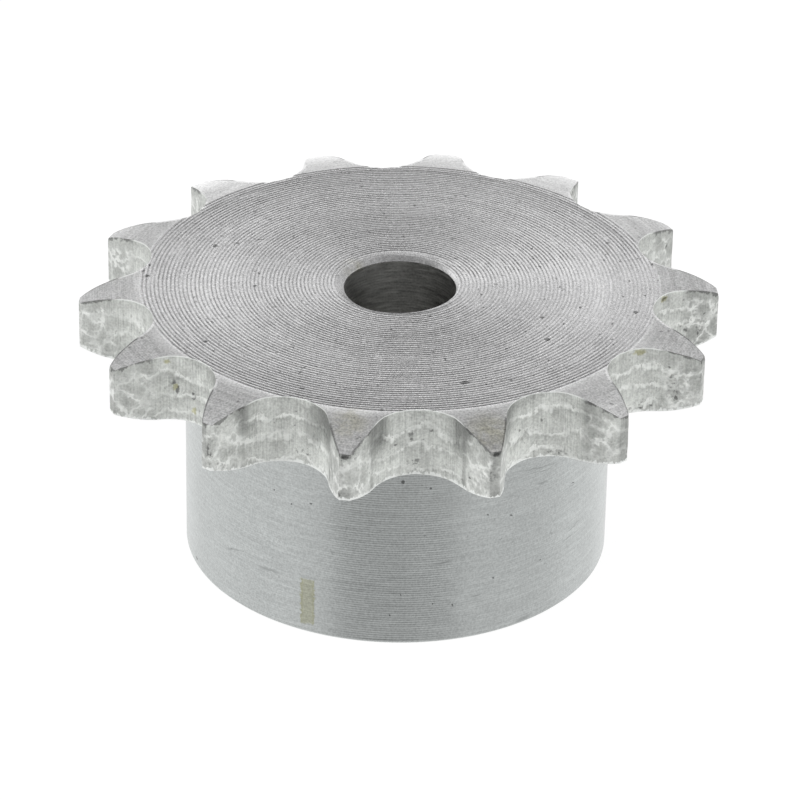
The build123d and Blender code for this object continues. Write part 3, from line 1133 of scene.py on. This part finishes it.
def draw_outline(name, points):
    """A new object: an open chain of edges through points, in edit mode with its last point selected."""
    deselect()
    bpy.ops.mesh.primitive_plane_add(size=1e-4, location=points[0])
    outline = bpy.context.object
    outline.name = name
    bpy.ops.object.transform_apply(location=True, rotation=True, scale=True)
    bpy.ops.object.mode_set(mode="EDIT")
    bpy.ops.mesh.select_mode(type="VERT")
    bpy.ops.mesh.select_all(action="SELECT")
    bpy.ops.mesh.merge(type="CENTER")
    for start, end in zip(points, points[1:]):
        step = [b - a for a, b in zip(start, end)]
        bpy.ops.mesh.extrude_region_move(TRANSFORM_OT_translate={"value": step})
    return outline


def arc_points(center, radius, start, end, count, growth=0.0):
    """Points on an arc in a plane, both ends included, with its radius growing evenly."""
    points = []
    for i in range(count + 1):
        angle = start + (end - start) * i / count
        reach = radius + growth * i / count
        points.append((center[0] + reach * math.cos(angle), center[1] + reach * math.sin(angle)))
    return points


def relief_points(blank, side, count):
    """Points (radius, drop from the rim's plane) on a tooth's rounded side, from its start out to the tip."""
    width = blank.front_relief_width if side == "front" else blank.back_relief_width
    start = blank.tip_radius - width
    sweep = math.asin(width / blank.relief_radius)
    arc = blank.relief_radius
    turns = [sweep * i / count for i in range(1, count + 1)]
    return [(start + arc * math.sin(angle), arc * (1 - math.cos(angle))) for angle in turns]


def facing_points(blank, outer):
    """Points (radius, height) on the rim's face, from outer in to the chamfer: a groove for each turn."""
    inner = blank.bore_radius + blank.chamfer_width
    chance = random.Random(11)
    top = blank.overall_length
    points, radius = [], outer
    while radius > inner + 1.5 * blank.groove_pitch:
        pitch = blank.groove_pitch if radius > blank.feed_change else blank.inner_pitch
        depth = blank.groove_depth * chance.uniform(SHALLOWEST_GROOVE, 1.0)
        for share, fall in GROOVE_SHAPE:
            points.append((radius - share * pitch, top - fall * depth))
        radius -= pitch
    points.append((inner, top))
    return points


def blank_profile(blank):
    """The turned blank's half section as points (radius, height), from the bore's lower end and back."""
    top = blank.overall_length
    back = top - blank.rim_thickness
    hub, fillet, bevel = blank.hub_radius, blank.hub_root_fillet, blank.hub_edge_break
    bore, width, depth = blank.bore_radius, blank.chamfer_width, blank.chamfer_depth
    walls = [(bore, depth), (bore + width, 0.0), (hub - bevel, 0.0), (hub, bevel)]
    walls += [(hub, bevel + (back - fillet - bevel) * i / HUB_ROWS) for i in range(1, HUB_ROWS + 1)]
    corner = arc_points((hub + fillet, back - fillet), fillet, math.pi, math.pi / 2, FILLET_ROWS)[1:]
    back_start = (blank.tip_radius - blank.back_relief_width, back)
    under = [(radius, back + drop) for radius, drop in relief_points(blank, "back", BACK_ROWS)]
    over = [(radius, top - drop) for radius, drop in relief_points(blank, "front", FRONT_ROWS)]
    tip_top = over.pop()
    facet = [
        (blank.tip_radius, tip_top[1] - blank.tip_facet_height),
        (blank.tip_radius - FACET_LEAN * blank.tip_facet_height, tip_top[1]),
    ]
    face = facing_points(blank, blank.tip_radius - blank.front_relief_width)
    bore_wall = [(bore, top - depth - (top - 2 * depth) * i / BORE_ROWS) for i in range(BORE_ROWS)]
    return walls + corner + [back_start] + under + facet + over[::-1] + face + bore_wall


def gap_outline(gaps, blank):
    """A tooth gap's outline as points (x, y), with the gap on +X: flank, roller seat, flank."""
    half = gaps.seat_angle / 2
    seat_center = gaps.root_radius + gaps.seat_radius
    reach = gaps.seat_radius + gaps.flank_radius
    flank_center = (seat_center - reach * math.cos(half), reach * math.sin(half))
    edge = blank.tip_radius + gaps.overrun
    sweep = half - math.acos((edge - flank_center[0]) / gaps.flank_radius)
    flank_count = round(gaps.flank_radius * sweep / gaps.wall_step)
    seat_count = round(gaps.seat_radius * gaps.seat_angle / gaps.wall_step)
    thin = gaps.tip_thinning
    upper = arc_points(flank_center, gaps.flank_radius - thin, sweep - half, -half, flank_count, thin)
    seat = arc_points((seat_center, 0), gaps.seat_radius, math.pi - half, math.pi + half, seat_count)
    lower = [(x, -y) for x, y in reversed(upper)]
    return upper + seat + lower


def turn(angle):
    """Turns what is selected round the bore's axis, anticlockwise seen from above."""
    bpy.ops.transform.rotate(value=angle, orient_axis="Z", center_override=(0, 0, 0))


def add_steels(piece):
    """Gives piece every steel, in the order of STEELS."""
    for name in STEELS:
        piece.data.materials.append(bpy.data.materials[name])


def tear(cutters, depth):
    """Roughens the cutters' walls with torn scales, and with finer ragged metal over them."""
    for name, kind, cell, share in TEARS:
        deselect()
        bpy.ops.object.empty_add()
        spacing = bpy.context.object
        spacing.scale = [size * MM for size in cell]
        bpy.context.view_layer.update()
        pattern = bpy.data.textures.new(name, kind)
        pattern.noise_scale = 1.0
        only(cutters)
        layer = cutters.modifiers.new(name, "DISPLACE")
        layer.texture = pattern
        layer.texture_coords = "OBJECT"
        layer.texture_coords_object = spacing
        layer.strength = depth * share
        layer.mid_level = 0.5
        bpy.ops.object.modifier_apply(modifier=layer.name)
        only(spacing)
        bpy.ops.object.delete()
        bpy.data.textures.remove(pattern)


class SPROCKET_OT_steels(bpy.types.Operator):
    """Make the steel of each machined surface"""

    bl_idname = "sprocket.steels"
    bl_label = "Steels"

    def execute(self, context):
        scene = context.scene
        colors, blank, gaps = scene.sprocket_finish, scene.sprocket_blank, scene.sprocket_gaps
        for steel, name, look, color in (
            (FacedSteel, "faced_steel", FACED, colors.faced),
            (ReliefSteel, "relief_steel", RELIEVED, colors.relieved),
            (HubSteel, "turned_steel", TURNED, colors.turned),
            (BoredSteel, "bored_steel", BORED, colors.bored),
        ):
            steel(name, look, blank, gaps, colors.stain).finished(color)
        HobbedSteel("hobbed_steel", blank, gaps, colors.stain).finished(colors.hobbed)
        return {"FINISHED"}


class SPROCKET_OT_turned_blank(bpy.types.Operator):
    """Spin the blank's half section round the bore's axis, facing grooves and all"""

    bl_idname = "sprocket.turned_blank"
    bl_label = "Turned Blank"

    def execute(self, context):
        blank = context.scene.sprocket_blank
        piece = draw_outline(PIECE, [(radius, 0.0, height) for radius, height in blank_profile(blank)])
        bpy.ops.mesh.select_all(action="SELECT")
        bpy.ops.mesh.spin(steps=blank.steps, angle=math.tau, center=(0, 0, 0), axis=(0, 0, 1))
        bpy.ops.mesh.select_all(action="SELECT")
        bpy.ops.mesh.remove_doubles(threshold=1e-6)
        bpy.ops.mesh.select_all(action="DESELECT")
        bpy.ops.mesh.select_mode(type="EDGE")
        bpy.ops.mesh.select_non_manifold()
        bpy.ops.mesh.bridge_edge_loops()
        bpy.ops.mesh.select_all(action="SELECT")
        bpy.ops.mesh.normals_make_consistent(inside=False)
        bpy.ops.mesh.select_all(action="DESELECT")
        bpy.ops.object.mode_set(mode="OBJECT")
        self.deburr(piece, blank)
        self.sharpen(piece, blank)
        add_steels(piece)
        for face in piece.data.polygons:
            face.material_index = STEELS.index(self.steel_at(face.center.xy.length, face.center.z, blank))
        return {"FINISHED"}

    def steel_at(self, radius, height, blank):
        """Name of the steel on the blank at a radius and a height."""
        rim_back = blank.overall_length - blank.rim_thickness
        if radius < blank.bore_radius + NEAR:
            return "bored_steel"
        on_top = height > blank.overall_length - blank.chamfer_depth
        if on_top and radius < blank.tip_radius - blank.front_relief_width:
            return "faced_steel"
        if radius > blank.tip_radius - TIP_SKIN:
            return "hobbed_steel"
        if radius > blank.hub_radius + NEAR or height > rim_back:
            return "relief_steel"
        return "turned_steel"

    def deburr(self, piece, blank):
        """Moves the outer edge of the bore's chamfer off centre, as a hand-held countersink leaves it."""
        middle_x, middle_y, reach = CHAMFER_EDGE
        outer = blank.bore_radius + blank.chamfer_width
        for vertex in piece.data.vertices:
            level = abs(vertex.co.z - blank.overall_length) < LEVEL
            vertex.select = level and abs(vertex.co.xy.length - outer) < NEAR
        bpy.ops.object.mode_set(mode="EDIT")
        bpy.ops.mesh.select_mode(type="VERT")
        scale = reach * MM / outer
        bpy.ops.transform.resize(value=(scale, scale, 1.0), center_override=(0, 0, 0))
        bpy.ops.transform.translate(value=(middle_x * MM, middle_y * MM, 0))
        bpy.ops.mesh.select_all(action="DESELECT")
        bpy.ops.object.mode_set(mode="OBJECT")

    def sharpen(self, piece, blank):
        """Keeps the edge between the chamfer and the bore sharp."""
        for edge in piece.data.edges:
            ends = [piece.data.vertices[i].co for i in edge.vertices]
            level = all(abs(end.z - blank.overall_length + blank.chamfer_depth) < NEAR for end in ends)
            edge.use_edge_sharp = level and all(abs(end.xy.length - blank.bore_radius) < NEAR for end in ends)


class SPROCKET_OT_tooth_gaps(bpy.types.Operator):
    """Cut a gap for each chain roller with one torn-faced cutter, copied round the rim"""

    bl_idname = "sprocket.tooth_gaps"
    bl_label = "Tooth Gaps"

    def execute(self, context):
        blank, gaps = context.scene.sprocket_blank, context.scene.sprocket_gaps
        cutters = self.spread(self.cutter(blank, gaps), gaps.teeth)
        tear(cutters, gaps.tear_depth)
        piece = bpy.data.objects[PIECE]
        only(piece)
        cut = piece.modifiers.new("tooth_gaps", "BOOLEAN")
        cut.operation = "DIFFERENCE"
        cut.solver = "MANIFOLD"
        cut.object = cutters
        bpy.ops.object.modifier_apply(modifier=cut.name)
        only(cutters)
        bpy.ops.object.delete()
        only(piece)
        bpy.ops.object.shade_smooth_by_angle(angle=math.radians(30))
        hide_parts(NODE)
        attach(piece, "root")
        return {"FINISHED"}

    def cutter(self, blank, gaps):
        """The cutter for the gap on +X: its outline drawn up through the rim in even rows and closed."""
        bottom = blank.overall_length - blank.rim_thickness - CUTTER_OVERHANG
        height = blank.rim_thickness + 2 * CUTTER_OVERHANG
        rows = round(height / gaps.wall_step)
        outline = gap_outline(gaps, blank)
        cutter = draw_outline("gap_cutter", [(x, y, bottom) for x, y in outline + outline[:1]])
        bpy.ops.mesh.select_all(action="SELECT")
        bpy.ops.mesh.remove_doubles(threshold=1e-6)
        for row in range(rows):
            bpy.ops.mesh.extrude_region_move(TRANSFORM_OT_translate={"value": (0, 0, height / rows)})
        bpy.ops.mesh.select_all(action="SELECT")
        bpy.ops.mesh.fill_holes(sides=0)
        bpy.ops.mesh.normals_make_consistent(inside=False)
        bpy.ops.object.mode_set(mode="OBJECT")
        add_steels(cutter)
        for face in cutter.data.polygons:
            face.material_index = STEELS.index("hobbed_steel")
        return cutter

    def spread(self, cutter, teeth):
        """Copies the cutter round the rim, half a tooth on from -Y, and joins the copies."""
        step = math.tau / teeth
        only(cutter)
        turn(math.pi / 2 - step / 2)
        copies = [cutter]
        for gap in range(1, teeth):
            bpy.ops.object.duplicate()
            turn(step)
            copies.append(bpy.context.object)
        for copy in copies:
            copy.select_set(True)
        bpy.ops.object.join()
        bpy.ops.object.transform_apply(location=True, rotation=True, scale=True)
        return bpy.context.object


class SPROCKET_OT_stage(bpy.types.Operator):
    """Put the sprocket on a pale floor in a soft studio, in front of the camera"""

    bl_idname = "sprocket.stage"
    bl_label = "Stage"

    def execute(self, context):
        scene, studio = context.scene, context.scene.sprocket_studio
        self.floor(studio)
        scene.world = self.room(studio)
        self.lamps()
        scene.camera = self.camera(studio)
        scene.view_settings.view_transform = "Standard"
        return {"FINISHED"}

    def floor(self, studio):
        """A round sheet of paper, which glows where it is seen."""
        deselect()
        bpy.ops.mesh.primitive_circle_add(vertices=FLOOR_SIDES, radius=studio.floor_radius, fill_type="NGON")
        floor = bpy.context.object
        floor.name = "floor"
        floor.visible_glossy = False
        paper = Finish(bpy.data.materials.new("paper"))
        _, seen = paper.rays()
        lit, dim = [paper.node("BsdfDiffuse", None, {"Color": grey}) for grey in PAPER_GREYS]
        glow = paper.node("Emission", None, {"Color": (1.0, 1.0, 1.0, 1.0), "Strength": studio.paper_glow})
        pale = paper.node("AddShader", None, {0: dim, 1: glow})
        surface = paper.node("MixShader", None, {0: seen, 1: lit, 2: pale})
        paper.node("OutputMaterial", None, {"Surface": surface})
        floor.data.materials.append(paper.owner)

    def room(self, studio):
        """A white room with a grey ceiling and the dark opening that the camera looks in through."""
        room = Finish(bpy.data.worlds.new("studio"))
        camera, seen = room.rays()
        x, y, z = room.apart(room.node("TexCoord", output=0))
        rise = z.maths("ARCSINE") * DEGREES
        side = y.maths("ARCTAN2", x) * DEGREES
        ceiling = room.ramp(rise, math.degrees(studio.walls_end), math.degrees(studio.ceiling_start))
        tone = 1.0 - ceiling * (1.0 - studio.ceiling_tone)
        for middle, half, low, high, soft, level in ROOM_PATCHES:
            away = abs((side - middle + 540.0).maths("FLOORED_MODULO", 360.0) - 180.0)
            patch = room.ramp(away, half + soft, half) * room.ramp(rise, low - soft, low)
            patch = patch * room.ramp(rise, high + soft, high)
            tone = tone + patch * (level - tone)
        tone = tone + camera * (1.0 - tone)
        strength = studio.room_level + seen * (1.0 - studio.room_level)
        grey = room.join(tone, tone, tone)
        background = room.node("Background", None, {"Color": grey, "Strength": strength})
        room.node("OutputWorld", None, {"Surface": background})
        return room.owner

    def lamps(self):
        """Two big soft lamps, one on each side."""
        for name, place, size, power in LAMPS:
            deselect()
            bpy.ops.object.light_add(type="AREA", location=place)
            lamp = bpy.context.object
            lamp.name = name
            lamp.rotation_euler = Vector(place).to_track_quat("Z", "Y").to_euler()
            lamp.data.shape = "DISK"
            lamp.data.size = size
            lamp.data.energy = power
            lamp.visible_glossy = False

    def camera(self, studio):
        """A camera that looks at the aim from its distance, azimuth and rise."""
        across = Matrix.Rotation(studio.azimuth, 3, "Z")
        tilt = across @ Matrix.Rotation(math.pi / 2 - studio.elevation, 3, "X")
        target = across @ Vector((studio.aim_side, 0, 0))
        target.z = studio.aim_height
        place = target + tilt @ Vector((0, 0, studio.distance))
        look = tilt @ Matrix.Rotation(studio.roll, 3, "Z")
        deselect()
        bpy.ops.object.camera_add(location=place, rotation=look.to_euler())
        camera = bpy.context.object
        camera.data.lens = studio.lens
        camera.data.sensor_width = SENSOR_WIDTH
        camera.data.clip_start = NEAREST
        camera.data.clip_end = FARTHEST
        return camera


class SPROCKET_PT_panel(bpy.types.Panel):
    """The sprocket's sizes, finish and studio, and a button for each step"""

    bl_label = "Chain Sprocket"
    bl_idname = "SPROCKET_PT_panel"
    bl_space_type = "VIEW_3D"
    bl_region_type = "UI"
    bl_category = "Sprocket"

    def draw(self, context):
        scene, layout = context.scene, self.layout
        for group in [getattr(scene, name) for name in GROUPS]:
            box = layout.box()
            for name in group.bl_rna.properties.keys():
                if name not in ("rna_type", "name"):
                    box.prop(group, name)
        for step in STEPS:
            layout.operator(step.bl_idname)


STEPS = (SPROCKET_OT_steels, SPROCKET_OT_turned_blank, SPROCKET_OT_tooth_gaps, SPROCKET_OT_stage)
GROUPS = {
    "sprocket_blank": SprocketBlank,
    "sprocket_gaps": SprocketGaps,
    "sprocket_finish": SprocketFinish,
    "sprocket_studio": SprocketStudio,
}


def register():
    for item in (*GROUPS.values(), *STEPS, SPROCKET_PT_panel):
        bpy.utils.register_class(item)
    for name, group in GROUPS.items():
        setattr(bpy.types.Scene, name, PointerProperty(type=group))


def unregister():
    for name in GROUPS:
        delattr(bpy.types.Scene, name)
    for item in (SPROCKET_PT_panel, *STEPS, *GROUPS.values()):
        bpy.utils.unregister_class(item)


def main():
    register()
    bpy.ops.sprocket.steels()
    bpy.ops.sprocket.turned_blank()
    bpy.ops.sprocket.tooth_gaps()
    bpy.ops.sprocket.stage()


if __name__ == "__main__":
    main()
